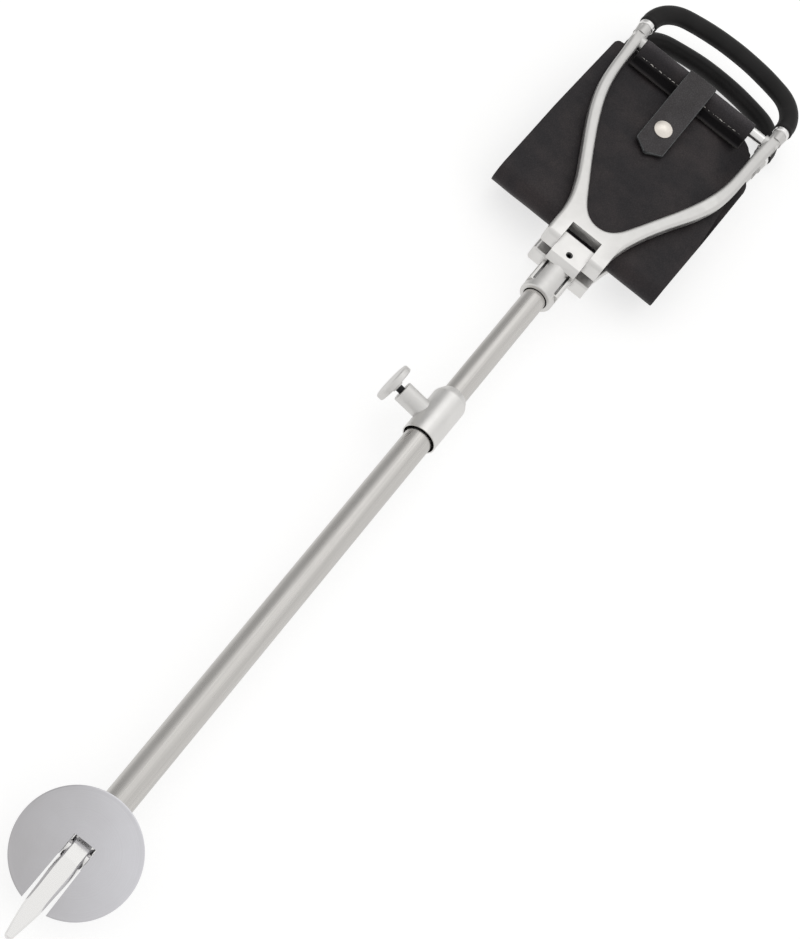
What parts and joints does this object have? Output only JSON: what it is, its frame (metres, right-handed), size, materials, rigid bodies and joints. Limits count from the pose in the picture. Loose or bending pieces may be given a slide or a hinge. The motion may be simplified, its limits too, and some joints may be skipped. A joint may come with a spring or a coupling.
{
  "type": "adjustable shooting stick",
  "caption": "Folding seat stick with a telescopic tube, thumb-screw clamp, hinged handles that open a leather sling seat, ground disc and spike.",
  "frame": {"origin": "bottom centre of the box, on the surface the folded stick lies on", "axes": "+Y up the stick from the spike to the handles, +X to the stick's right, +Z towards the front, where the snap strap closes"},
  "size_m": [0.1616, 0.9738, 0.0536],
  "materials": {
    "polished_tube": "polished, drawn lengthwise",
    "cast_alloy": "satin casting",
    "bright_steel": "bright",
    "satin_steel": "satin",
    "steel_pin": "ground",
    "black_steel": "blackened",
    "brass": "turned",
    "black_nylon": "moulded",
    "grip_rubber": "matte",
    "black_leather": "satin",
    "strap_leather": "satin",
    "thread": "waxed thread",
    "nickel": "nickel plated"
  },
  "bodies": {
    "outer_stick": {"outer_tube": "polished_tube", "ground_spike": "bright_steel", "spike_pin": "steel_pin", "disc_pivot_pin": "steel_pin", "clamp_collar": "cast_alloy"},
    "slider": {"guide_bush": "black_nylon"},
    "inner_stick": {"inner_tube": "polished_tube", "hinge_block": "cast_alloy", "socket_screw": "black_steel"},
    "front_handle": {"front_yoke": "cast_alloy", "front_hinge_pin": "steel_pin", "front_seat_bar": "bright_steel", "front_grip_core": "bright_steel", "front_grip_cover": "grip_rubber", "front_grip_ferrules": "bright_steel"},
    "back_handle": {"back_yoke": "cast_alloy", "back_hinge_pin": "steel_pin", "back_seat_bar": "bright_steel", "back_grip_core": "bright_steel", "back_grip_cover": "grip_rubber", "back_grip_ferrules": "bright_steel"},
    "front_panel": {"front_seat_leather": "black_leather", "front_stitching": "thread", "snap_stud": "nickel"},
    "back_panel": {"back_seat_leather": "black_leather", "back_stitching": "thread", "strap_anchor": "strap_leather", "strap_rivets": "nickel"},
    "front_fold": {"front_seat_fold": "black_leather"},
    "back_fold": {"back_seat_fold": "black_leather"},
    "strap_flap": {"snap_strap": "strap_leather", "snap_cap": "nickel", "snap_socket": "nickel"},
    "disc": {"ground_disc": "satin_steel"},
    "pad": {"clamp_pad": "brass"},
    "clamp_screw": {"thumb_screw": "black_steel", "thumb_knob": "cast_alloy"}
  },
  "joints": [
    {"name": "tube_slide", "type": "slide", "parent": "outer_stick", "child": "slider", "axis": [0, 1, 0], "range_m": [-0.117, 0.06]},
    {"name": "tube_swivel", "type": "hinge", "parent": "slider", "child": "inner_stick", "pos_m": [0.00405, 0.1729, 0.0268], "axis": [0, 1, 0], "continuous": true},
    {"name": "seat_open", "type": "hinge", "parent": "inner_stick", "child": "front_handle", "pos_m": [0.00405, 0.2199, 0.0393], "axis": [1, 0, 0], "range_deg": [0, 50]},
    {"name": "back_handle_turn", "type": "hinge", "parent": "inner_stick", "child": "back_handle", "pos_m": [0.00405, 0.2199, 0.0143], "axis": [-1, 0, 0], "range_deg": [0, 50]},
    {"name": "front_panel_turn", "type": "hinge", "parent": "front_handle", "child": "front_panel", "pos_m": [-0.00195, 0.4229, 0.0443], "axis": [1, 0, 0], "range_deg": [0, 15]},
    {"name": "back_panel_turn", "type": "hinge", "parent": "back_handle", "child": "back_panel", "pos_m": [-0.00195, 0.4229, 0.0093], "axis": [-1, 0, 0], "range_deg": [0, 15]},
    {"name": "front_fold_turn", "type": "hinge", "parent": "front_panel", "child": "front_fold", "pos_m": [-0.00195, 0.2479, 0.0362], "axis": [1, 0, 0], "range_deg": [-65, 0], "deforming": ["front_seat_fold"]},
    {"name": "back_fold_turn", "type": "hinge", "parent": "back_panel", "child": "back_fold", "pos_m": [-0.00195, 0.2479, 0.0174], "axis": [-1, 0, 0], "range_deg": [-65, 0], "deforming": ["back_seat_fold"]},
    {"name": "strap_open", "type": "hinge", "parent": "back_panel", "child": "strap_flap", "pos_m": [-0.00195, 0.4293, 0.0084], "axis": [-1, 0, 0], "range_deg": [0, 60], "deforming": ["snap_strap", "snap_cap", "snap_socket"]},
    {"name": "disc_open", "type": "hinge", "parent": "outer_stick", "child": "disc", "pos_m": [0.00405, -0.4124, 0.0268], "axis": [1, 0, 0], "range_deg": [0, 67]},
    {"name": "pad_press", "type": "slide", "parent": "outer_stick", "child": "pad", "axis": [-0.9877, 0, 0.1564], "range_m": [0, 0.002]},
    {"name": "thumb_turn", "type": "hinge", "parent": "pad", "child": "clamp_screw", "pos_m": [0.00405, 0.0253, 0.0268], "axis": [-0.9877, 0, 0.1564], "range_deg": [0, 720]}
  ],
  "couplings": [
    {"joint": "back_handle_turn", "follows": "seat_open", "ratio": 1},
    {"joint": "front_panel_turn", "follows": "seat_open", "ratio": 0.296},
    {"joint": "back_panel_turn", "follows": "seat_open", "ratio": 0.296},
    {"joint": "front_fold_turn", "follows": "seat_open", "ratio": -1.296},
    {"joint": "back_fold_turn", "follows": "seat_open", "ratio": -1.296},
    {"joint": "thumb_turn", "follows": "pad_press", "rad_per_m": 6283.2}
  ]
}
